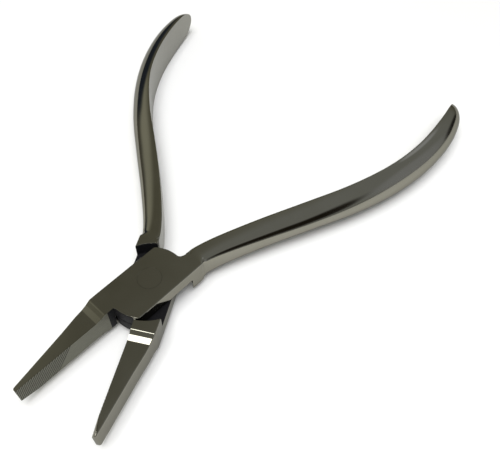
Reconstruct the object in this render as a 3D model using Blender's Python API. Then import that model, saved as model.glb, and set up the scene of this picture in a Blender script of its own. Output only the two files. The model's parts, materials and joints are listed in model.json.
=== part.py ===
"""Flat nose pliers with a lap joint, for jewellery making.

Three real pieces: two identical forged halves, one of them turned over, and the rivet they turn on.
The origin is on the rivet's axis, at the joint's lower flat face. +Z runs up the rivet and the
handles run towards +Y. Each half is modelled as it lies with the jaws shut, its jaw at -X and its
handle at +X, and is then turned about the rivet into the open rest pose.
"""
import math

import bmesh
import bpy
import numpy as np
from mathutils import Vector

MM = 0.001

# Joint: two half-thick plates, lapped one over the other
JOINT_THICKNESS = 6.5 * MM
LAP_CLEARANCE = 0.2 * MM          # between the two plates' flat faces
JAW_SIDE_WALL = 5.25 * MM         # rivet axis to the block's wall that runs down into the jaw
HANDLE_SIDE_WALL = 5.6 * MM       # rivet axis to the block's wall that runs up into the handle
PLATE_RADIUS_HANDLE = 8.0 * MM    # the plate's round end on the handle side
PLATE_RADIUS_JAW = 9.75 * MM      # the plate's round end on the jaw side
SHOULDER_CLEARANCE_HANDLE = 0.9 * MM
SHOULDER_CLEARANCE_JAW = 0.25 * MM
PLATE_CORNER_RADIUS = 0.9 * MM
BLOCK_WALL = 2.1 * MM             # the block runs this far past the plate's round end
BLOCK_END = PLATE_RADIUS_HANDLE + BLOCK_WALL

# Rivet, countersunk and ground flush on both faces
RIVET_RADIUS = 1.75 * MM
RIVET_HEAD_OVERHANG = 0.85 * MM   # countersunk head past the shank, all round
RIVET_HEAD_DEPTH = 0.85 * MM
RIVET_CLEARANCE = 0.1 * MM

# Jaw
JAW_LENGTH = 33.8 * MM            # rivet axis to tip
JAW_ROOT = 11.9 * MM              # rivet axis to the foot of the step down from the joint
JAW_STEP_LENGTH = 2.4 * MM
JAW_ROOT_THICKNESS = 5.45 * MM
JAW_TIP_THICKNESS = 5.3 * MM
JAW_MID_FRACTION = 0.4            # place of the jaw's slight outward bow, from root to tip
JAW_MID_WIDTH = 3.55 * MM
JAW_TIP_WIDTH = 1.05 * MM
JAW_TIP_RADIUS = 0.5 * MM
GRIP_CLEARANCE = 0.03 * MM        # each gripping face to the shut plane

# Diamond serrations on the gripping face
SERRATED_LENGTH = 13.0 * MM       # from the tip, along the face's upper edge
GROOVE_PITCH = 0.9 * MM
GROOVE_WIDTH = 0.4 * MM
GROOVE_DEPTH = 0.16 * MM
GROOVE_ANGLE = math.radians(40)   # from straight across the jaw

# Handle: a D section, flat towards the other handle and round at the back
HANDLE_END = 93.8 * MM            # rivet axis to the handle's end
HANDLE_ROOT = PLATE_RADIUS_HANDLE - 1.0 * MM
HANDLE_TIP_LENGTH = 5.3 * MM      # the rounded-off end
RUNOUT = 2.4 * MM                 # the block's square corners die away in this length
BLOCK_SQUARENESS = 40.0
# Along the handle: share of its length, inner face's offset, half height, depth, and the
# section's squareness, where 2 is an ellipse and more is squarer
HANDLE_STATIONS = [
    (0.0, 0.8, 3.24, 4.6, 5.0),
    (0.06, 1.35, 3.24, 4.4, 4.5),
    (0.12, 2.75, 3.22, 4.6, 3.4),
    (0.24, 6.6, 3.25, 5.0, 2.5),
    (0.36, 11.05, 3.5, 5.15, 2.1),
    (0.49, 16.1, 4.3, 4.85, 1.9),
    (0.62, 19.6, 4.95, 4.6, 1.8),
    (0.745, 20.6, 4.85, 4.9, 1.8),
    (0.87, 19.8, 4.6, 4.9, 1.8),
    (1.0, 17.8, 3.6, 3.3, 1.8),
]
ROOT_STATIONS = 14
STATION_COUNT = 32
BACK_POINTS = 18

# Rest pose: each half is turned this far from shut
HALF_OPENING = math.radians(14.85)

CIRCLE_STEPS = 64
ARC_STEPS = 14

MID = JOINT_THICKNESS / 2
OVERCUT = 2.0 * MM                # cutters run this far past the metal


def clear_scene():
    for old in list(bpy.data.objects):
        bpy.data.objects.remove(old, do_unlink=True)


def polished_steel(name, colour, roughness):
    material = bpy.data.materials.new(name)
    material.use_nodes = True
    shader = material.node_tree.nodes["Principled BSDF"]
    shader.inputs["Base Color"].default_value = (*colour, 1.0)
    shader.inputs["Metallic"].default_value = 1.0
    shader.inputs["Roughness"].default_value = roughness
    return material


def new_object(name, bm, smooth_angle=None):
    bmesh.ops.recalc_face_normals(bm, faces=bm.faces)
    mesh = bpy.data.meshes.new(name)
    bm.to_mesh(mesh)
    bm.free()
    if smooth_angle is not None:
        mesh.shade_smooth()
        mesh.set_sharp_from_angle(angle=smooth_angle)
    made = bpy.data.objects.new(name, mesh)
    bpy.context.scene.collection.objects.link(made)
    return made


def arc(radius, start_deg, end_deg, centre=(0.0, 0.0), steps=ARC_STEPS):
    angles = np.radians(np.linspace(start_deg, end_deg, steps + 1))
    return [(centre[0] + radius * math.cos(a), centre[1] + radius * math.sin(a)) for a in angles]


def prism(name, outline, low, high, along):
    """Extrude a closed outline. along is Z for a plan outline, X for a side outline of (y, z)."""
    bm = bmesh.new()
    if along == "Z":
        corners = [bm.verts.new((x, y, low)) for x, y in outline]
        travel = Vector((0, 0, high - low))
    else:
        corners = [bm.verts.new((low, y, z)) for y, z in outline]
        travel = Vector((high - low, 0, 0))
    face = bm.faces.new(corners)
    swept = bmesh.ops.extrude_face_region(bm, geom=[face], use_keep_orig=True)
    moved = [item for item in swept["geom"] if isinstance(item, bmesh.types.BMVert)]
    bmesh.ops.translate(bm, verts=moved, vec=travel)
    return new_object(name, bm)


def turned(name, profile):
    """Spin a profile of (radius, z), whose ends lie on the Z axis, into a closed solid."""
    bm = bmesh.new()
    line = [bm.verts.new((radius, 0, z)) for radius, z in profile]
    edges = [bm.edges.new(pair) for pair in zip(line, line[1:])]
    bmesh.ops.spin(bm, geom=line + edges, cent=(0, 0, 0), axis=(0, 0, 1),
                   angle=2 * math.pi, steps=CIRCLE_STEPS, use_merge=True)
    bmesh.ops.remove_doubles(bm, verts=bm.verts, dist=1e-7)
    return new_object(name, bm, smooth_angle=math.radians(35))


def combine(target, other, operation):
    """Add a live Boolean, with its operand carried by the target and left out of the model."""
    other.parent = target
    other.hide_render = True
    other.display_type = "WIRE"
    modifier = target.modifiers.new(other.name, "BOOLEAN")
    modifier.operation = operation
    modifier.solver = "EXACT"
    modifier.object = other


def handle_curve(y):
    """Inner face's offset, half height, depth and squareness at a distance from the rivet."""
    table = np.array(HANDLE_STATIONS) * (HANDLE_END - HANDLE_ROOT, MM, MM, MM, 1)
    places = HANDLE_ROOT + table[:, 0]
    slopes = np.gradient(table[:, 1:], places, axis=0)
    i = int(np.clip(np.searchsorted(places, y) - 1, 0, len(places) - 2))
    span = places[i + 1] - places[i]
    t = (y - places[i]) / span
    before, after = table[i, 1:], table[i + 1, 1:]
    rise, fall = slopes[i] * span, slopes[i + 1] * span
    offset, half_height, depth, squareness = (
        before * (2 * t**3 - 3 * t**2 + 1) + rise * (t**3 - 2 * t**2 + t)
        + after * (3 * t**2 - 2 * t**3) + fall * (t**3 - t**2))
    # Square as the block up to its end, then quickly down to the handle's own section
    faded = min(1.0, max(0.0, (y - BLOCK_END) / RUNOUT))
    eased = faded**2 * (3 - 2 * faded)
    squareness = 1 / ((1 - eased) / BLOCK_SQUARENESS + eased / squareness)
    return offset, half_height, depth, squareness


def block_outline():
    """Plan outline of jaw and joint plate, up to the block's end."""
    grip = -GRIP_CLEARANCE
    corner = PLATE_CORNER_RADIUS
    # Jaw-side round end, from the throat to the corner by the handle-side wall
    inset = PLATE_RADIUS_JAW - corner
    corner_x = HANDLE_SIDE_WALL - corner
    corner_y = -math.sqrt(inset**2 - corner_x**2)
    corner_turn = math.degrees(math.atan2(corner_y, corner_x))
    points = [(grip, -JAW_LENGTH), (grip, -PLATE_RADIUS_JAW - 0.5 * MM)]
    points += arc(PLATE_RADIUS_JAW, -87, corner_turn)
    points += arc(corner, corner_turn, 0, (corner_x, corner_y), 5)[1:]
    # Handle-side wall, and the block's end inside the handle's root
    points.append((HANDLE_SIDE_WALL, BLOCK_END))
    for y in (BLOCK_END, PLATE_RADIUS_HANDLE + 1.1 * MM):
        points.append((handle_curve(y)[0] + 0.1 * MM, y))
    # Handle-side round end, from the handle's root to the jaw-side wall
    points.append((0.75 * MM, PLATE_RADIUS_HANDLE + 0.35 * MM))
    inset = PLATE_RADIUS_HANDLE - corner
    corner_x = -(JAW_SIDE_WALL - corner)
    corner_y = math.sqrt(inset**2 - corner_x**2)
    corner_turn = math.degrees(math.atan2(corner_y, corner_x))
    points += arc(PLATE_RADIUS_HANDLE, 88, corner_turn)
    points += arc(corner, corner_turn, 180, (corner_x, corner_y), 5)[1:]
    # Jaw-side wall and the jaw's tapering back
    points.append((-JAW_SIDE_WALL, -JAW_ROOT))
    middle = JAW_ROOT + JAW_MID_FRACTION * (JAW_LENGTH - JAW_ROOT)
    points.append((-JAW_MID_WIDTH, -middle))
    tip = JAW_TIP_WIDTH
    points.append((-tip, -JAW_LENGTH + JAW_TIP_RADIUS))
    points += arc(JAW_TIP_RADIUS, 200, 270, (-tip + JAW_TIP_RADIUS, -JAW_LENGTH + JAW_TIP_RADIUS), 4)
    return points


def side_outline():
    """Side outline of the joint and the jaw, which steps down and thins to its tip."""
    root = (JOINT_THICKNESS - JAW_ROOT_THICKNESS) / 2
    tip = (JOINT_THICKNESS - JAW_TIP_THICKNESS) / 2
    past = JAW_LENGTH + OVERCUT
    step = JAW_STEP_LENGTH
    lower = [(BLOCK_END + OVERCUT, 0.0), (-JAW_ROOT, 0.0), (-JAW_ROOT - 0.35 * step, 0.3 * root),
             (-JAW_ROOT - 0.65 * step, 0.8 * root), (-JAW_ROOT - step, root), (-past, tip)]
    upper = [(y, JOINT_THICKNESS - z) for y, z in reversed(lower)]
    return upper + lower


def handle_blank(name):
    """The forged handle: D sections along its curve, joined by faces, with a rounded end."""
    bm = bmesh.new()
    rings = []
    straight_end = HANDLE_END - HANDLE_TIP_LENGTH
    root_end = BLOCK_END + RUNOUT
    places = [PLATE_RADIUS_HANDLE + 0.2 * MM] + list(np.linspace(BLOCK_END, root_end, ROOT_STATIONS))
    places += list(np.linspace(root_end, straight_end, STATION_COUNT))[1:]
    places += [straight_end + HANDLE_TIP_LENGTH * math.sin(a) for a in np.radians([20, 40, 56, 69, 79])]
    for y in places:
        offset, half_height, depth, squareness = handle_curve(y)
        ahead = handle_curve(y + 0.5 * MM)[0] - handle_curve(y - 0.5 * MM)[0]
        outward = Vector((1.0 * MM, -ahead, 0)).normalized()
        past = max(0.0, (y - straight_end) / HANDLE_TIP_LENGTH)
        rounding = math.sqrt(1 - past**2)
        ring = [bm.verts.new((offset, y, MID - half_height * rounding))]
        for k in range(1, BACK_POINTS):
            turn = math.pi * (k / BACK_POINTS - 0.5)
            across = depth * rounding * math.cos(turn) ** (2 / squareness)
            up = half_height * rounding * math.copysign(abs(math.sin(turn)) ** (2 / squareness), turn)
            ring.append(bm.verts.new(Vector((offset, y, MID + up)) + outward * across))
        ring.append(bm.verts.new((offset, y, MID + half_height * rounding)))
        rings.append(ring)
    for before, after in zip(rings, rings[1:]):
        for k in range(len(before)):
            j = (k + 1) % len(before)
            bm.faces.new((before[k], before[j], after[j], after[k]))
    bm.faces.new(rings[0])
    bm.faces.new(rings[-1])
    return new_object(name, bm)


def lap_cutter(name):
    """Clears the lower half thickness for the other half's plate, up to two round shoulders."""
    jaw_radius = PLATE_RADIUS_JAW + SHOULDER_CLEARANCE_JAW
    handle_radius = PLATE_RADIUS_HANDLE + SHOULDER_CLEARANCE_HANDLE
    outline = arc(jaw_radius, -180, 0, steps=2 * ARC_STEPS) + arc(handle_radius, 0, 180, steps=2 * ARC_STEPS)
    return prism(name, outline, -OVERCUT, MID + LAP_CLEARANCE / 2, "Z")


def rivet_profile(grow, low, high):
    shank = RIVET_RADIUS + grow
    head = shank + RIVET_HEAD_OVERHANG
    depth = RIVET_HEAD_DEPTH
    return [(0, low), (head, low), (head, 0.0), (shank, depth), (shank, JOINT_THICKNESS - depth),
            (head, JOINT_THICKNESS), (head, high), (0, high)]


def rivet_hole(name):
    return turned(name, rivet_profile(RIVET_CLEARANCE, -OVERCUT, JOINT_THICKNESS + OVERCUT))


def groove_cutter(name, lean):
    """One set of parallel V grooves on the gripping face, leaning up the jaw or down it."""
    bm = bmesh.new()
    reach = JAW_ROOT_THICKNESS
    along = Vector((0, lean * math.sin(GROOVE_ANGLE), math.cos(GROOVE_ANGLE)))
    across = Vector((0, math.cos(GROOVE_ANGLE), -lean * math.sin(GROOVE_ANGLE)))
    first = -JAW_LENGTH + SERRATED_LENGTH - JAW_ROOT_THICKNESS / 2 * math.tan(GROOVE_ANGLE)
    count = int((SERRATED_LENGTH + JAW_ROOT_THICKNESS * math.tan(GROOVE_ANGLE)) / GROOVE_PITCH)
    mouth = 0.3 * MM
    flare = GROOVE_WIDTH / 2 * (GROOVE_DEPTH + mouth) / GROOVE_DEPTH
    for i in range(count):
        centre = Vector((-GRIP_CLEARANCE, first - i * GROOVE_PITCH, MID))
        root = centre - Vector((GROOVE_DEPTH, 0, 0))
        left = centre + Vector((mouth, 0, 0)) + across * flare
        right = centre + Vector((mouth, 0, 0)) - across * flare
        ends = [[bm.verts.new(corner + along * side * reach) for corner in (root, left, right)]
                for side in (-1, 1)]
        bm.faces.new(ends[0])
        bm.faces.new(ends[1])
        for k in range(3):
            j = (k + 1) % 3
            bm.faces.new((ends[0][k], ends[0][j], ends[1][j], ends[1][k]))
    return new_object(name, bm)


def forged_half(name, material):
    """One forging as it lies shut, its plate the upper one."""
    half = prism(name, block_outline(), -OVERCUT, JOINT_THICKNESS + OVERCUT, "Z")
    side = prism(name + "_side", side_outline(), -2 * HANDLE_SIDE_WALL, 2 * HANDLE_SIDE_WALL, "X")
    combine(half, side, "INTERSECT")
    combine(half, handle_blank(name + "_handle"), "UNION")
    combine(half, lap_cutter(name + "_lap"), "DIFFERENCE")
    combine(half, rivet_hole(name + "_hole"), "DIFFERENCE")
    combine(half, groove_cutter(name + "_grooves_up", 1), "DIFFERENCE")
    combine(half, groove_cutter(name + "_grooves_down", -1), "DIFFERENCE")
    half.data.materials.append(material)
    return half


def upper_half(material):
    half = forged_half("upper_half", material)
    half.rotation_euler = (0, 0, -HALF_OPENING)
    return half


def lower_half(material):
    half = forged_half("lower_half", material)
    half.location = (0, 0, JOINT_THICKNESS)
    half.rotation_euler = (0, math.pi, HALF_OPENING)
    return half


def pivot_rivet(material):
    rivet = turned("pivot_rivet", rivet_profile(0.0, 0.0, JOINT_THICKNESS))
    rivet.data.materials.append(material)
    return rivet


clear_scene()
forged_steel = polished_steel("polished_steel", (0.42, 0.41, 0.36), 0.16)
upper_half(forged_steel)
lower_half(forged_steel)
pivot_rivet(polished_steel("rivet_steel", (0.45, 0.44, 0.40), 0.2))
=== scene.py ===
"""Flat nose pliers with a lap joint: the two polished forgings and the rivet, as they look.

Both halves are one forging. It is modelled lying shut, with the rivet at the origin: the jaw runs
to -Y on the -X side and the handle to +Y on the +X side. A copy is turned over for the lower half.
Lengths are millimetres until metres() turns them.
"""
import json
import math

import bmesh
import bpy
from mathutils import Matrix, Vector


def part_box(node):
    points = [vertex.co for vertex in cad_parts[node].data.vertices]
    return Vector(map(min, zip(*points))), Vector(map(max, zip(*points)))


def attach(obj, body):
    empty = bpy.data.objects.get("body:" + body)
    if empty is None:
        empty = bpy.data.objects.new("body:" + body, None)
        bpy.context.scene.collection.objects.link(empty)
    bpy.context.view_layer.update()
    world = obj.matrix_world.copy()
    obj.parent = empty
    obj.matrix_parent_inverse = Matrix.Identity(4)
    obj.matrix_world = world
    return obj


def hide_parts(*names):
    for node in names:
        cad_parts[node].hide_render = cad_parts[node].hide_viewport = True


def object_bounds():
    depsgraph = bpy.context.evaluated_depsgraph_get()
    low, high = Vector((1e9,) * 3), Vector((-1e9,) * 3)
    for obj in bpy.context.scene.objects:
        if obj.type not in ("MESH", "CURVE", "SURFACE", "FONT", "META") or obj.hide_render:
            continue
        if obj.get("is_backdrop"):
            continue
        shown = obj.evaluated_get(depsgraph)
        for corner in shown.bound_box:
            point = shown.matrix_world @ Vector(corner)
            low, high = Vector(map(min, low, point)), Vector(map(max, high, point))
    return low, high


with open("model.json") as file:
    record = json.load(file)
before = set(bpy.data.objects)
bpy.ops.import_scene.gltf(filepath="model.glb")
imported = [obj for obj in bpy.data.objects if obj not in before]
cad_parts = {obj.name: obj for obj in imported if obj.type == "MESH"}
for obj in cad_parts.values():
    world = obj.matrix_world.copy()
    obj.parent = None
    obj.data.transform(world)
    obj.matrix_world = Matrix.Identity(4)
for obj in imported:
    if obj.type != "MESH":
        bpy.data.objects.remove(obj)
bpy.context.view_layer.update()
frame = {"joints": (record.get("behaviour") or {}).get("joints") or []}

MM = 0.001
RIVET_LOW, RIVET_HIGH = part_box("pivot_rivet")
PIVOT = next(joint for joint in frame["joints"] if joint["name"] == "pivot")

# Joint
THICKNESS = (RIVET_HIGH[2] - RIVET_LOW[2]) / MM
MID = THICKNESS / 2
HALF_OPENING = math.radians(PIVOT["range_deg"][1] / 2)
LAP_GAP = 0.08                 # between the two plates
JAW_SIDE_WALL = 5.25
HANDLE_SIDE_WALL = 5.6
PLATE_RADIUS_HANDLE = 8.0
PLATE_RADIUS_JAW = 9.75
SHOULDER_RADIUS_HANDLE = 8.9
SHOULDER_RADIUS_JAW = 10.0
PLATE_CORNER = 0.9
BLOCK_END = 10.1
BLOCK_TAIL = 1.0               # past its end the block slopes down inside the handle
END_SLOPE_FACE = 0.5
END_SLOPE_SIDE = 0.35
THROAT_TURN = -87.5            # degrees; where the jaw end's arc starts, beside the gripping face
CROTCH_TURN = 88               # degrees; where the handle end's arc starts, between the handles
CROTCH = (0.75, 0.35)          # offset of the block's inner corner there, and its gap to the arc
CROTCH_RAMP = 1.1              # past the arc, the inner face runs just inside the handle's
INSIDE_HANDLE = 0.1
EDGE_ROUNDING = 0.2            # every ground edge, broken on the polishing wheel
CORNER_ANGLE = math.radians(32)    # a sharper turn than this is an edge

# Rivet, ground flush
RIVET_HEAD_RADIUS = (RIVET_HIGH[0] - RIVET_LOW[0]) / 2 / MM
RIVET_RADIUS = 1.75
RIVET_HEAD_DEPTH = 0.85
RIVET_SEAM = 0.05
RIVET_POINTS = 96

# Jaw
JAW_LENGTH = 33.8
JAW_ROOT = 11.9
JAW_BEND = (0.04, 1.5)         # how far the side wall has turned in at the root, and in what length
JAW_BOW = (3.55, 20.6)         # offset and distance from the rivet of the jaw's slight bow
JAW_BOW_SWELL = 0.12           # and how far the side stands out between the root and there
JAW_TIP_WIDTH = 1.05
JAW_TIP_ROUNDING = 0.5
TIP_WEAR = 4.2                 # length of the worn corner at the tip
TIP_WEAR_SLOPE = 0.2           # and how fast it widens towards the end
JAW_ROOT_THICKNESS = 5.45
JAW_TIP_THICKNESS = 5.3
STEP_SLOPES = ((0.35, 12), (0.85, 24), (1.3, 11))    # length and degrees down
STEP_CREASE = 0.05             # width of the strip beside each crease between two slopes
GRIP_GAP = 0.03                # from each gripping face to the middle, when shut
THROAT_CORNER = 0.1            # inside the other half's shoulder, so the two can shut
THROAT = 1.7                   # length of the inner face painted black beside the plate, for the shade in the throat
THROAT_CORNERS = (0.7, 0.3)    # half the width its corners lie in, and their reach past it
THROAT_EDGES = (1.0, 0.2, 0.5)    # the same for its edges, which also reach before it

# Serrations
SERRATED_LENGTH = 13.0
GROOVE_PITCH = 0.7
GROOVE_WIDTH = 0.17
GROOVE_DEPTH = 0.08
GROOVE_ANGLE = math.radians(40)

# Handle, a D section: share of its length, inner face's offset, half height, depth, and the
# section's squareness, where 2 is an ellipse and more is squarer
HANDLE_STATIONS = [
    (0.0, 0.8, 3.24, 4.6, 5.0),
    (0.06, 1.35, 3.24, 4.4, 4.5),
    (0.12, 2.75, 3.22, 4.6, 3.4),
    (0.24, 6.6, 3.25, 5.0, 2.5),
    (0.36, 11.05, 3.5, 5.15, 2.1),
    (0.49, 16.1, 4.3, 4.85, 1.9),
    (0.62, 19.6, 4.95, 4.6, 1.8),
    (0.745, 20.6, 4.85, 4.9, 1.8),
    (0.87, 19.8, 4.6, 4.9, 1.8),
    (1.0, 17.8, 3.6, 3.3, 1.8),
]
HANDLE_ROOT = 7.0
HANDLE_START = 9.2             # inside the block, clear of the lap's round recess
HANDLE_LAST_SQUARE = 0.2       # before the block's end, the last ring that the block hides
HANDLE_END = 93.8
HANDLE_TIP_LENGTH = 5.3
HANDLE_TIP_RINGS = (22, 42, 58, 70, 79, 86)    # degrees round the handle's rounded end
HANDLE_RINGS = 34
SECTION_POINTS = 32
RUNOUT = 2.4                   # the block's square corners die away in this length
RUNOUT_RINGS = 12
BLOCK_SQUARENESS = 40.0
CORNER_CREASE = 0.85

# Tools
PAST_THE_METAL = 2.0           # how far a cutting tool reaches past a face
STEP_TOOL_PAST = 1.0
STEP_TOOL_REACH = 8.0          # to each side of the rivet's middle
GROOVE_TOOL_REACH = 6.0        # above and below the joint's middle
GROOVE_TOOL_LIFT = 0.03        # how far the groove's tool stands out of the gripping face
ON_THE_LINE = 1e-6             # metres; a point nearer than this lies on a line

# How faces and edges are told apart
FACING = 0.9                   # a normal's part along an axis
UPRIGHT = 0.1
ROUNDED_UPRIGHT = 0.6
ARC_SLACK = 0.06               # a flat facet's middle lies a little inside its arc
GRIP_SLACK = 0.02
GROOVE_SLACK = 0.01
RIVET_SLACK = 0.2
ROUND_END_INSET = 1.0          # the round ends stop this far before the side wall


def metres(*values):
    return Vector([value * MM for value in values])


# ---------------------------------------------------------------- modelling

def only(piece):
    bpy.ops.object.select_all(action="DESELECT")
    piece.select_set(True)
    bpy.context.view_layer.objects.active = piece


def edit(piece):
    only(piece)
    bpy.ops.object.mode_set(mode="EDIT")
    bpy.ops.mesh.select_mode(type="VERT")
    bpy.ops.mesh.select_all(action="DESELECT")


def done():
    bpy.ops.object.mode_set(mode="OBJECT")


def face_outwards():
    bpy.ops.mesh.select_all(action="SELECT")
    bpy.ops.mesh.normals_make_consistent(inside=False)


def pull(x, y, z):
    bpy.ops.mesh.extrude_region_move(TRANSFORM_OT_translate={"value": metres(x, y, z)})


def select(kind, wanted):
    """Select in edit mode the edges or faces that wanted() accepts."""
    bpy.ops.mesh.select_mode(type=kind)
    bpy.ops.mesh.select_all(action="DESELECT")
    mesh = bmesh.from_edit_mesh(bpy.context.object.data)
    for item in mesh.edges if kind == "EDGE" else mesh.faces:
        if wanted(item):
            item.select_set(True)
    mesh.select_flush_mode()
    bmesh.update_edit_mesh(bpy.context.object.data)


def give(piece, wanted, material):
    """Give the faces that wanted() accepts one of the piece's finishes."""
    edit(piece)
    select("FACE", wanted)
    piece.active_material_index = piece.data.materials.find(material.name)
    bpy.ops.object.material_slot_assign()
    done()


def apply_place():
    bpy.ops.object.transform_apply(location=True, rotation=True, scale=True)


def named(name):
    made = bpy.context.object
    made.name = name
    made.data.name = name
    return made


def apply_modifier(piece, kind, **settings):
    only(piece)
    modifier = piece.modifiers.new(kind.title(), kind)
    for key, value in settings.items():
        setattr(modifier, key, value)
    bpy.ops.object.modifier_apply(modifier=modifier.name)


def combine(piece, tool, operation):
    """Join a tool to a piece or cut it away, leaving one closed body, and put the tool away."""
    apply_modifier(piece, "BOOLEAN", operation=operation, solver="EXACT", object=tool,
                   material_mode="TRANSFER")
    bpy.data.objects.remove(tool, do_unlink=True)


def outline_prism(name, points, low, high):
    """Draw a closed outline point by point in plan, fill it and pull it up."""
    bpy.ops.mesh.primitive_plane_add(size=MM, location=metres(*points[0], low))
    piece = named(name)
    apply_place()
    edit(piece)
    bpy.ops.mesh.select_all(action="SELECT")
    bpy.ops.mesh.merge(type="CENTER")
    for before, after in zip(points, points[1:]):
        step = metres(after[0] - before[0], after[1] - before[1], 0)
        bpy.ops.mesh.extrude_vertices_move(TRANSFORM_OT_translate={"value": step})
    bpy.ops.mesh.select_all(action="SELECT")
    bpy.ops.mesh.edge_face_add()
    pull(0, 0, high - low)
    face_outwards()
    done()
    return piece


def arc(radius, start, end, centre=(0, 0), steps=24):
    """Points round a centre, from one turn to another in degrees."""
    turns = [math.radians(start + (end - start) * k / steps) for k in range(steps + 1)]
    x, y = centre
    return [(x + radius * math.cos(turn), y + radius * math.sin(turn)) for turn in turns]


def rounded_end(radius, wall, side):
    """Where a plate's round end turns into a wall: its corner's centre, and the turn in degrees."""
    inset = radius - PLATE_CORNER
    across = wall - PLATE_CORNER
    along = math.sqrt(inset**2 - across**2)
    corner = (side * across, -side * along)
    turn = math.degrees(math.atan2(corner[1], corner[0]))
    return corner, turn


# ---------------------------------------------------------------- the forging

def handle_curve(y):
    """Inner face's offset, half height, depth and squareness at a distance from the rivet."""
    places = [HANDLE_ROOT + row[0] * (HANDLE_END - HANDLE_ROOT) for row in HANDLE_STATIONS]
    last = len(places) - 1
    i = next((k for k in range(last) if y <= places[k + 1]), last - 1)
    span = places[i + 1] - places[i]
    t = (y - places[i]) / span

    def slope(k, column):
        a, b = max(k - 1, 0), min(k + 1, last)
        return (HANDLE_STATIONS[b][column] - HANDLE_STATIONS[a][column]) / (places[b] - places[a])

    values = []
    for column in (1, 2, 3, 4):
        before, after = HANDLE_STATIONS[i][column], HANDLE_STATIONS[i + 1][column]
        rise, fall = slope(i, column) * span, slope(i + 1, column) * span
        values.append(before * (2 * t**3 - 3 * t**2 + 1) + rise * (t**3 - 2 * t**2 + t)
                      + after * (3 * t**2 - 2 * t**3) + fall * (t**3 - t**2))
    offset, half_height, depth, squareness = values
    faded = min(1.0, max(0.0, (y - BLOCK_END) / RUNOUT))
    eased = faded**2 * (3 - 2 * faded)
    return offset, half_height, depth, 1 / ((1 - eased) / BLOCK_SQUARENESS + eased / squareness)


def block_outline():
    """The outline in plan of joint and jaw, from the tip's inner corner round to its outer one."""
    corner, turn = rounded_end(PLATE_RADIUS_JAW, HANDLE_SIDE_WALL, 1)
    points = [(-GRIP_GAP, -JAW_LENGTH), (-GRIP_GAP, -PLATE_RADIUS_JAW - THROAT),
              (-GRIP_GAP, -PLATE_RADIUS_JAW - THROAT_CORNER)]
    points += arc(PLATE_RADIUS_JAW, THROAT_TURN, turn)
    points += arc(PLATE_CORNER, turn, 0, corner, 8)[1:]
    # Up the handle's side wall, round the tail and back down the handle's inner face
    points.append((HANDLE_SIDE_WALL, BLOCK_END))
    points.append((HANDLE_SIDE_WALL - END_SLOPE_SIDE * BLOCK_TAIL, BLOCK_END + BLOCK_TAIL))
    for y in (BLOCK_END + BLOCK_TAIL, PLATE_RADIUS_HANDLE + CROTCH_RAMP):
        points.append((handle_curve(y)[0] + INSIDE_HANDLE, y))
    points.append((CROTCH[0], PLATE_RADIUS_HANDLE + CROTCH[1]))
    corner, turn = rounded_end(PLATE_RADIUS_HANDLE, JAW_SIDE_WALL, -1)
    points += arc(PLATE_RADIUS_HANDLE, CROTCH_TURN, turn)
    points += arc(PLATE_CORNER, turn, 180, corner, 8)[1:]
    # Down the jaw's side wall and along its bow to the rounded tip
    bend_in, bend_length = JAW_BEND
    bow_x, bow_y = JAW_BOW
    points.append((-JAW_SIDE_WALL, -JAW_ROOT + bend_length))
    points.append((-JAW_SIDE_WALL + bend_in, -JAW_ROOT))
    points.append((-(JAW_SIDE_WALL + bow_x) / 2 - JAW_BOW_SWELL, -(JAW_ROOT + bow_y) / 2))
    points.append((-bow_x, -bow_y))
    tip = (-JAW_TIP_WIDTH + JAW_TIP_ROUNDING, -JAW_LENGTH + JAW_TIP_ROUNDING)
    points += arc(JAW_TIP_ROUNDING, 192, 270, tip, 6)
    return points


def step_cutter(name, below):
    """The wheel's path from the joint's face down the slopes to the jaw's flat."""
    steep = math.tan(math.radians(STEP_SLOPES[0][1]))
    top = THICKNESS + STEP_TOOL_PAST
    corners = [(-JAW_ROOT, THICKNESS)]
    for length, slope in STEP_SLOPES:
        y, z = corners[-1]
        corners.append((y - length, z - length * math.tan(math.radians(slope))))
    corners[0] = (STEP_TOOL_PAST / steep - JAW_ROOT, top)
    corners.append((-JAW_LENGTH - STEP_TOOL_PAST, (THICKNESS + JAW_TIP_THICKNESS) / 2))
    side = corners[:1]
    # A narrow strip at each crease keeps the faces on both sides of it flat to the eye
    for before, corner, after in zip(corners, corners[1:], corners[2:]):
        for other in (before, after):
            share = STEP_CREASE / math.dist(corner, other)
            side.append(tuple(c + (o - c) * share for c, o in zip(corner, other)))
    side += [corners[-1], (corners[-1][0], top)]
    if below:
        side = [(y, THICKNESS - z) for y, z in side]
    cutter = outline_prism(name, side, -STEP_TOOL_REACH, STEP_TOOL_REACH)
    # The outline was drawn lying in plan as (y, z), so it is stood up: x to y, y to z, z to x
    cutter.matrix_world = Matrix(((0, 0, 1, 0), (1, 0, 0, 0), (0, 1, 0, 0), (0, 0, 0, 1)))
    only(cutter)
    apply_place()
    return cutter


def lap_cutter(material):
    """The round room for the other half's plate, wider at the jaw end than at the handle end."""
    outline = arc(SHOULDER_RADIUS_JAW, -180, 0, steps=72)
    outline += arc(SHOULDER_RADIUS_HANDLE, 0, 180, steps=72)
    cutter = outline_prism("lap_cutter", outline, -PAST_THE_METAL, MID + LAP_GAP / 2)
    # The cut faces take this finish: painted shade in the lap's recess
    cutter.data.materials.append(material)
    return cutter


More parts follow.
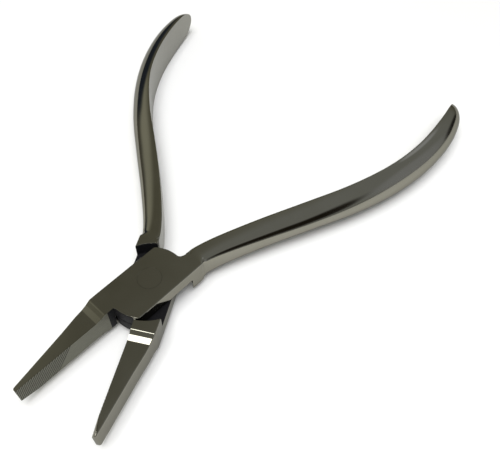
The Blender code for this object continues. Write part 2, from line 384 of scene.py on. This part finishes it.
def turned_rivet(name, grow, low, high):
    """The countersunk rivet's shape, turned by scaling rings as it is pulled up."""
    head, shank = RIVET_HEAD_RADIUS + grow, RIVET_RADIUS + grow
    rings = [(head, low), (head, 0), (shank, RIVET_HEAD_DEPTH),
             (shank, THICKNESS - RIVET_HEAD_DEPTH), (head, THICKNESS), (head, high)]
    # The rivet itself ends at the joint's faces, where two rings would be one
    rings = [ring for k, ring in enumerate(rings) if k == 0 or ring[1] != rings[k - 1][1]]
    bpy.ops.mesh.primitive_circle_add(vertices=RIVET_POINTS, radius=rings[0][0] * MM,
                                      fill_type="NGON", location=metres(0, 0, rings[0][1]))
    apply_place()
    piece = named(name)
    edit(piece)
    bpy.ops.mesh.select_all(action="SELECT")
    for before, after in zip(rings, rings[1:]):
        pull(0, 0, after[1] - before[1])
        share = after[0] / before[0]
        bpy.ops.transform.resize(value=(share, share, 1), center_override=metres(0, 0, after[1]))
    face_outwards()
    done()
    return piece


def inner_side(face):
    """The side of the handle's round blank that becomes its flat inner face, but not its end."""
    return len(face.verts) == 4 and max(vert.co.x for vert in face.verts) < ON_THE_LINE


def handle(steel, satin):
    """Pull a circle along in rings, shape the rings into the handle's D sections, and smooth."""
    bpy.ops.mesh.primitive_circle_add(vertices=SECTION_POINTS, radius=MM, fill_type="NGON",
                                      location=metres(0, HANDLE_START, 0),
                                      rotation=(math.pi / 2, 0, 0))
    apply_place()
    piece = named("handle")
    piece.data.materials.append(steel)
    piece.data.materials.append(satin)
    straight_end = HANDLE_END - HANDLE_TIP_LENGTH
    rest = straight_end - BLOCK_END - RUNOUT
    stations = [HANDLE_START, BLOCK_END - HANDLE_LAST_SQUARE]
    stations += [BLOCK_END + RUNOUT * k / RUNOUT_RINGS for k in range(RUNOUT_RINGS)]
    stations += [BLOCK_END + RUNOUT + rest * k / HANDLE_RINGS for k in range(HANDLE_RINGS + 1)]
    stations += [straight_end + HANDLE_TIP_LENGTH * math.sin(math.radians(turn))
                 for turn in HANDLE_TIP_RINGS]
    edit(piece)
    bpy.ops.mesh.select_all(action="SELECT")
    for before, after in zip(stations, stations[1:]):
        pull(0, after - before, 0)
    face_outwards()
    # The two long corners between the flat inner face and the round back stay crisp
    select("EDGE", lambda edge: max(abs(vert.co.x) for vert in edge.verts) < ON_THE_LINE)
    bpy.ops.transform.edge_crease(value=CORNER_CREASE)
    done()
    give(piece, inner_side, satin)
    edit(piece)
    mesh = bmesh.from_edit_mesh(piece.data)
    for vert in mesh.verts:
        y = vert.co.y / MM
        offset, half_height, depth, squareness = handle_curve(y)
        slope = handle_curve(y + 0.5)[0] - handle_curve(y - 0.5)[0]
        past = max(0.0, (y - straight_end) / HANDLE_TIP_LENGTH)
        rounding = math.sqrt(1 - past**2)
        turn = math.atan2(vert.co.z, max(0.0, vert.co.x))
        if vert.co.x < -ON_THE_LINE:
            across, up = 0.0, vert.co.z / MM
        else:
            across = depth * abs(math.cos(turn))**(2 / squareness)
            up = math.copysign(abs(math.sin(turn))**(2 / squareness), turn)
        outward = Vector((1, -slope, 0)).normalized() * across * rounding
        vert.co = metres(offset + outward.x, y + outward.y, MID + half_height * rounding * up)
    bmesh.update_edit_mesh(piece.data)
    done()
    apply_modifier(piece, "SUBSURF", levels=2, render_levels=2)
    return piece


def grooves(material):
    """Tools for the parallel V grooves that lean across the gripping face."""
    flare = GROOVE_WIDTH / 2 * (GROOVE_DEPTH + GROOVE_TOOL_LIFT) / GROOVE_DEPTH
    drift = JAW_ROOT_THICKNESS * math.tan(GROOVE_ANGLE)
    first = -JAW_LENGTH + SERRATED_LENGTH - drift / 2
    mouth = GROOVE_TOOL_LIFT - GRIP_GAP
    section = [(-GRIP_GAP - GROOVE_DEPTH, first), (mouth, first - flare), (mouth, first + flare)]
    piece = outline_prism("grooves", section, MID - GROOVE_TOOL_REACH, MID + GROOVE_TOOL_REACH)
    piece.data.materials.append(material)
    edit(piece)
    bpy.ops.mesh.select_all(action="SELECT")
    bpy.ops.transform.rotate(value=GROOVE_ANGLE, orient_axis="X",
                             center_override=metres(0, first, MID))
    done()
    apply_modifier(piece, "ARRAY", count=int((SERRATED_LENGTH + drift) / GROOVE_PITCH),
                   use_relative_offset=False, use_constant_offset=True,
                   constant_offset_displace=metres(0, -GROOVE_PITCH, 0))
    return piece


def ease_the_tip(piece):
    """Wear one corner of the gripping face away towards the tip."""
    drop = (THICKNESS - JAW_TIP_THICKNESS) / 2
    edit(piece)
    bpy.ops.mesh.select_all(action="SELECT")
    bpy.ops.mesh.bisect(plane_co=metres(-GRIP_GAP, TIP_WEAR - JAW_LENGTH, drop),
                        plane_no=(1, -TIP_WEAR_SLOPE, -1), use_fill=True, clear_outer=True)
    done()


def slope_the_tail(piece):
    """Grind the block's end down, above and below, so it sinks into the handle with no step."""
    for face, upwards in ((THICKNESS, 1), (0, -1)):
        edit(piece)
        bpy.ops.mesh.select_all(action="SELECT")
        bpy.ops.mesh.bisect(plane_co=metres(0, BLOCK_END, face),
                            plane_no=(0, END_SLOPE_FACE, upwards),
                            use_fill=True, clear_outer=True)
        done()


def round_end(face):
    """The upright walls of the plate's two round ends, and of the throat beside one."""
    middle = face.calc_center_median() / MM
    beside = 0 < -middle.y - PLATE_RADIUS_JAW < THROAT and abs(middle.x) < THROAT_EDGES[0]
    if beside and face.normal.x > FACING:
        return True
    radius = PLATE_RADIUS_JAW if middle.y < 0 else PLATE_RADIUS_HANDLE
    on_the_arc = (abs(math.hypot(middle.x, middle.y) - radius) < ARC_SLACK
                  and abs(middle.x) < HANDLE_SIDE_WALL - ROUND_END_INSET)
    return on_the_arc and abs(face.normal.z) < UPRIGHT


def throat(face):
    """The rounded corners where the inner face meets the plate's round end."""
    half_width, past = THROAT_CORNERS
    middle = face.calc_center_median() / MM
    beside = -THROAT < middle.y + PLATE_RADIUS_JAW < past and abs(middle.x) < half_width
    return beside and abs(face.normal.z) < ROUNDED_UPRIGHT


def gripping_face(face):
    """The flat inner side of the jaw, from the throat to the tip."""
    middle = face.calc_center_median() / MM
    on_the_grip = (abs(middle.x + GRIP_GAP) < GRIP_SLACK
                   and middle.y < -PLATE_RADIUS_JAW - THROAT)
    return on_the_grip and face.normal.x > FACING


def worth_rounding(edge):
    """Every corner but those the grooves leave sharp and those filled by the rivet."""
    start, end = (vert.co / MM for vert in edge.verts)
    if max(start.xy.length, end.xy.length) < RIVET_HEAD_RADIUS + RIVET_SLACK:
        return False
    # An upright edge in the throat would swell into the other half's way when shut
    half_width, before, past = THROAT_EDGES
    in_the_throat = all(abs(v.x) < half_width
                        and -THROAT - before < v.y + PLATE_RADIUS_JAW < past
                        for v in (start, end))
    if in_the_throat and abs(start.z - end.z) > (start - end).xy.length:
        return False
    on_the_grip = all(v.x > -GRIP_GAP - GROOVE_DEPTH - GROOVE_SLACK and v.y < -PLATE_RADIUS_JAW
                      for v in (start, end))
    return edge.calc_face_angle(0) > CORNER_ANGLE and not on_the_grip


def forging(steel, satin, ground, shade_black):
    """One whole half as it lies shut, its plate the upper one."""
    piece = outline_prism("forging", block_outline(), 0, THICKNESS)
    piece.data.materials.append(steel)
    slope_the_tail(piece)
    combine(piece, step_cutter("step_above", False), "DIFFERENCE")
    combine(piece, step_cutter("step_below", True), "DIFFERENCE")
    combine(piece, lap_cutter(shade_black), "DIFFERENCE")
    ease_the_tip(piece)
    # The gripping face is left from the grinder, its darker tint painted shade, then serrated
    piece.data.materials.append(ground)
    give(piece, gripping_face, ground)
    # The grooves' walls take the black: painted shade in the serrations
    combine(piece, grooves(shade_black), "DIFFERENCE")
    rivet_hole = turned_rivet("rivet_hole", RIVET_SEAM, -PAST_THE_METAL, THICKNESS + PAST_THE_METAL)
    combine(piece, rivet_hole, "DIFFERENCE")
    # The plate's round ends are painted black for the shade they lie in, and so is the throat
    give(piece, round_end, shade_black)
    edit(piece)
    select("EDGE", worth_rounding)
    bpy.ops.transform.edge_bevelweight(value=1)
    done()
    apply_modifier(piece, "BEVEL", width=EDGE_ROUNDING * MM, segments=3, limit_method="WEIGHT",
                   use_clamp_overlap=False, miter_outer="MITER_ARC")
    # Painted shade: the throat's rounded corners go black as well
    give(piece, throat, shade_black)
    combine(piece, handle(steel, satin), "UNION")
    return piece


def smooth(piece):
    only(piece)
    bpy.ops.object.shade_smooth_by_angle(angle=CORNER_ANGLE)
    apply_modifier(piece, "WEIGHTED_NORMAL", keep_sharp=True, weight=80)


def place(piece, name, turn):
    """Turn a finished shape to its place and leave the object itself at the origin."""
    piece.name = name
    piece.data.name = name
    piece.matrix_world = turn
    only(piece)
    apply_place()


# ---------------------------------------------------------------- finishes

def linear(colour):
    """sRGB hex to linear."""
    parts = [int(colour[k:k + 2], 16) / 255 for k in (1, 3, 5)]
    return (*[p / 12.92 if p <= 0.04045 else ((p + 0.055) / 1.055)**2.4 for p in parts], 1.0)


def node(tree, kind, links=(), **settings):
    """Add a node; settings are its properties or its inputs, links are (input, source socket)."""
    made = tree.nodes.new(kind)
    for key, value in settings.items():
        name = key.replace("_", " ")
        if hasattr(made, key):
            setattr(made, key, value)
        else:
            next(s for s in made.inputs if s.name.lower() == name.lower()).default_value = value
    for target, source in links:
        tree.links.new(source, made.inputs[target])
    return made


def new_finish(name):
    """A material with its node tree, its shader and the place on the piece in metres."""
    material = bpy.data.materials.new(name)
    material.use_nodes = True
    tree = material.node_tree
    shader = tree.nodes["Principled BSDF"]
    place_of = tree.nodes.new("ShaderNodeTexCoord").outputs["Object"]
    return material, tree, shader, place_of


def polished_steel():
    """Steel off the buffing wheel: long faint wheel lines, smears and a slow ripple."""
    material, tree, shader, place_of = new_finish("polished_steel")
    shader.inputs["Metallic"].default_value = 1.0
    # The wheel's own lines are hair-fine; these are as coarse as they need to be to show
    along = node(tree, "ShaderNodeMapping", [("Vector", place_of)],
                 Scale=(1 / (0.25 * MM), 1 / (5 * MM), 1 / (0.25 * MM)))
    lines = node(tree, "ShaderNodeTexNoise", [("Vector", along.outputs[0])],
                 Scale=1.0, Detail=5.0, Roughness=0.6)
    smears = node(tree, "ShaderNodeTexNoise", [("Vector", place_of)],
                  Scale=1 / (5 * MM), Detail=4.0, Roughness=0.55)
    tint = node(tree, "ShaderNodeMix", [("Factor", smears.outputs[0])], data_type="RGBA")
    tint.inputs["A"].default_value = linear("#868478")
    tint.inputs["B"].default_value = linear("#8E8C82")
    tree.links.new(tint.outputs["Result"], shader.inputs["Base Color"])
    shader.inputs["Specular Tint"].default_value = linear("#BCBCBC")
    rough = node(tree, "ShaderNodeMapRange", [("Value", smears.outputs[0])],
                 From_Min=0.3, From_Max=0.7, To_Min=0.07, To_Max=0.14)
    tree.links.new(rough.outputs[0], shader.inputs["Roughness"])
    fine = node(tree, "ShaderNodeBump", [("Height", lines.outputs[0])],
                Strength=0.25, Distance=0.004 * MM)
    ripple = node(tree, "ShaderNodeTexNoise", [("Vector", place_of)],
                  Scale=1 / (7 * MM), Detail=1.0)
    slow = node(tree, "ShaderNodeBump",
                [("Height", ripple.outputs[0]), ("Normal", fine.outputs[0])],
                Strength=0.4, Distance=0.03 * MM)
    tree.links.new(slow.outputs[0], shader.inputs["Normal"])
    return material


def lined_steel(name, line_size, dark, light, roughness):
    """Steel left from a belt or a grinder: duller than the polish, with fine lines one way.

    line_size is the lines' length or width along x, y and z, in millimetres.
    """
    material, tree, shader, place_of = new_finish(name)
    shader.inputs["Metallic"].default_value = 1.0
    # Grit scratches are a few hundredths wide; these are as coarse as they need to be to show
    stretch = node(tree, "ShaderNodeMapping", [("Vector", place_of)],
                   Scale=[1 / (size * MM) for size in line_size])
    lines = node(tree, "ShaderNodeTexNoise", [("Vector", stretch.outputs[0])],
                 Scale=1.0, Detail=4.0, Roughness=0.6)
    tint = node(tree, "ShaderNodeMix", [("Factor", lines.outputs[0])], data_type="RGBA")
    tint.inputs["A"].default_value = linear(dark)
    tint.inputs["B"].default_value = linear(light)
    tree.links.new(tint.outputs["Result"], shader.inputs["Base Color"])
    shader.inputs["Roughness"].default_value = roughness
    bump = node(tree, "ShaderNodeBump", [("Height", lines.outputs[0])],
                Strength=0.3, Distance=0.01 * MM)
    tree.links.new(bump.outputs[0], shader.inputs["Normal"])
    return material


def satin_steel():
    """The handles' flat inner faces, only belt-ground: paler and duller, with fine lines across."""
    return lined_steel("satin_steel", (2, 0.15, 2), "#7E7D75", "#93928B", 0.38)


def ground_shaded_steel():
    """The gripping faces as the grinder left them, with lines along; the darker tint is painted
    shade.
    """
    material = lined_steel("ground_shaded_steel", (0.3, 3, 0.12), "#64645B", "#7C7C72", 0.24)
    shader = material.node_tree.nodes["Principled BSDF"]
    # A darker edge tint, part of the painted shade
    shader.inputs["Specular Tint"].default_value = linear("#B0B0B0")
    return material


def painted_shade_black():
    """Painted shade: dull, grainy charcoal for the lap, the round ends, the throat and the grooves.
    """
    material, tree, shader, place_of = new_finish("painted_shade_black")
    grain = node(tree, "ShaderNodeTexNoise", [("Vector", place_of)],
                 Scale=1 / (0.5 * MM), Detail=6.0, Roughness=0.7)
    tint = node(tree, "ShaderNodeMix", [("Factor", grain.outputs[0])], data_type="RGBA")
    tint.inputs["A"].default_value = linear("#0C0C0E")
    tint.inputs["B"].default_value = linear("#1E1E20")
    tree.links.new(tint.outputs["Result"], shader.inputs["Base Color"])
    shader.inputs["Specular IOR Level"].default_value = 0.15
    shader.inputs["Roughness"].default_value = 0.6
    bump = node(tree, "ShaderNodeBump", [("Height", grain.outputs[0])],
                Strength=0.4, Distance=0.03 * MM)
    tree.links.new(bump.outputs[0], shader.inputs["Normal"])
    return material


def rivet_steel():
    """The rivet's ends, ground flush with the joint and polished with it: faint turned rings."""
    material, tree, shader, place_of = new_finish("rivet_steel")
    shader.inputs["Metallic"].default_value = 1.0
    rings = node(tree, "ShaderNodeTexWave", [("Vector", place_of)], wave_type="RINGS",
                 rings_direction="Z", Scale=1 / (0.6 * MM), Distortion=2.0, Detail=3.0)
    tint = node(tree, "ShaderNodeMix", [("Factor", rings.outputs["Fac"])], data_type="RGBA")
    tint.inputs["A"].default_value = linear("#868478")
    tint.inputs["B"].default_value = linear("#8E8C82")
    tree.links.new(tint.outputs["Result"], shader.inputs["Base Color"])
    shader.inputs["Roughness"].default_value = 0.11
    return material


# ---------------------------------------------------------------- studio

CAMERA_TURN = (25.94, 54.06, 1.95)    # degrees round, up and rolled
CAMERA_TARGET = (11.14, 24.85, 0.53)
CAMERA_DISTANCE = 143.32
CAMERA_LENS, CAMERA_SENSOR = 43.7, 36
CAMERA_NEAR = 10
FLOOR_SIZE = 4000
FLOOR_MIDDLE = 30                     # under the tool's middle, past the rivet


def camera():
    """Look down on the joint from the jaws' end, a little from the right."""
    azimuth, elevation, roll = (math.radians(a) for a in CAMERA_TURN)
    flat = math.cos(elevation)
    back = Vector((math.sin(azimuth) * flat, -math.cos(azimuth) * flat, math.sin(elevation)))
    right = Vector((math.cos(azimuth), math.sin(azimuth), 0))
    up = back.cross(right)
    across = right * math.cos(roll) + up * math.sin(roll)
    above = up * math.cos(roll) - right * math.sin(roll)
    made = bpy.data.objects.new("camera", bpy.data.cameras.new("camera"))
    made.data.sensor_width = CAMERA_SENSOR
    made.data.lens = CAMERA_LENS
    made.data.clip_start = CAMERA_NEAR * MM
    bpy.context.scene.collection.objects.link(made)
    made.matrix_world = Matrix((across, above, back)).transposed().to_4x4()
    made.location = metres(*CAMERA_TARGET) + back * (CAMERA_DISTANCE * MM)
    bpy.context.scene.camera = made


def floor():
    """A plain white card under the tool."""
    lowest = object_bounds()[0].z
    bpy.ops.mesh.primitive_plane_add(size=FLOOR_SIZE * MM,
                                     location=(0, FLOOR_MIDDLE * MM, lowest))
    made = named("floor")
    material, _, shader, _ = new_finish("white_card")
    shader.inputs["Base Color"].default_value = linear("#F4F4F4")
    shader.inputs["Roughness"].default_value = 0.7
    shader.inputs["Specular IOR Level"].default_value = 0.2
    made.data.materials.append(material)
    made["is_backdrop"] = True


def lamp(name, towards, along, distance, size, power, in_gloss):
    """A flat lamp in a direction from the joint, facing it, with its second side along another.

    Its distance and size are in metres and its power in watts.
    """
    light = bpy.data.lights.new(name, "AREA")
    light.shape = "RECTANGLE"
    light.size, light.size_y = size
    light.energy = power
    made = bpy.data.objects.new(name, light)
    bpy.context.scene.collection.objects.link(made)
    back = Vector(towards).normalized()
    across = Vector(along).cross(back).normalized()
    made.matrix_world = Matrix((across, back.cross(across), back)).transposed().to_4x4()
    made.location = back * distance
    made.visible_glossy = in_gloss


# Soft cards and dark flags round the table that the polish mirrors: direction round from +X and
# down from overhead, radius and soft edge, all in degrees, then colour
CARDS = [
    (120, 40, 50, 30, "#8B897A"),     # the grey-olive ceiling over the joint
    (155, 27, 16, 8, "#7A786B"),      # and a duller patch of it to the left
    (10, 45, 55, 20, "#A6A8A8"),      # a paler side to the right
    (18, 74, 20, 8, "#B9BBC2"),       # and paler still towards the horizon
    (-30, 61, 21, 5, "#2E2921"),      # a brown-black flag at the right
    (50, 87, 10, 4, "#3C3A3A"),       # a dark one low behind
    (68, 44, 5, 4, "#DDE0EA"),        # a small bright one above it
    (176, 50, 18, 10, "#C6C5B6"),     # a card at the left
    (152, 80, 19, 5, "#39404E"),      # a blue-black flag behind it
    (250, 60, 20, 15, "#B9B9B4"),     # a pale card in front
    (300, 75, 14, 10, "#4B443A"),     # and a dark flag beside it
]
HORIZON, CEILING = "#6B6458", "#8E8D80"
CEILING_FROM = 0.6                    # height on a unit dome where the plain ceiling begins


def studio():
    lamp("overhead", towards=(0.1, -0.2, 1.0), along=(1, 0, 0), distance=0.7,
         size=(0.5, 0.5), power=5.2, in_gloss=False)
    # Small enough for only the jaw's step to mirror it
    lamp("step_light", towards=(-0.233, -0.062, 0.97), along=(0, 1, 0), distance=0.6,
         size=(0.075, 0.085), power=0.14, in_gloss=True)
    world = bpy.data.worlds.new("studio")
    bpy.context.scene.world = world
    world.use_nodes = True
    tree = world.node_tree
    where = tree.nodes.new("ShaderNodeTexCoord").outputs["Generated"]
    split = node(tree, "ShaderNodeSeparateXYZ", [("Vector", where)])
    ramp = node(tree, "ShaderNodeValToRGB", [("Fac", split.outputs["Z"])])
    low, high = ramp.color_ramp.elements
    low.color, high.position, high.color = linear(HORIZON), CEILING_FROM, linear(CEILING)
    colour = ramp.outputs["Color"]
    for *angles, shade in CARDS:
        around, down, radius, soft = (math.radians(angle) for angle in angles)
        towards = (math.cos(around) * math.sin(down), math.sin(around) * math.sin(down),
                   math.cos(down))
        facing = node(tree, "ShaderNodeVectorMath", [(0, where)], operation="DOT_PRODUCT")
        facing.inputs[1].default_value = towards
        edge = node(tree, "ShaderNodeMapRange", [("Value", facing.outputs["Value"])],
                    interpolation_type="SMOOTHSTEP", From_Min=math.cos(radius + soft),
                    From_Max=math.cos(max(0.0, radius - soft)))
        card = node(tree, "ShaderNodeMix", [("Factor", edge.outputs[0])], data_type="RGBA")
        tree.links.new(colour, card.inputs["A"])
        card.inputs["B"].default_value = linear(shade)
        colour = card.outputs["Result"]
    tree.links.new(colour, tree.nodes["Background"].inputs["Color"])
    bpy.context.scene.view_settings.view_transform = "Standard"


# ---------------------------------------------------------------- build

steel = polished_steel()
# The black of painted shade for the lap, the round ends, the throat and the grooves
shade_black = painted_shade_black()
upper = forging(steel, satin_steel(), ground_shaded_steel(), shade_black)
smooth(upper)
only(upper)
bpy.ops.object.duplicate()
lower = bpy.context.object
place(upper, "upper_forging", Matrix.Rotation(-HALF_OPENING, 4, "Z"))
turned_over = Matrix.Translation(metres(0, 0, THICKNESS)) @ Matrix.Rotation(math.pi, 4, "Y")
place(lower, "lower_forging", Matrix.Rotation(HALF_OPENING, 4, "Z") @ turned_over)
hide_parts("upper_half")
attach(upper, "upper")
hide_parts("lower_half")
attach(lower, "lower")

rivet = turned_rivet("flush_rivet", 0, 0, THICKNESS)
rivet.data.materials.append(rivet_steel())
smooth(rivet)
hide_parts("pivot_rivet")
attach(rivet, "lower")

camera()
floor()
studio()
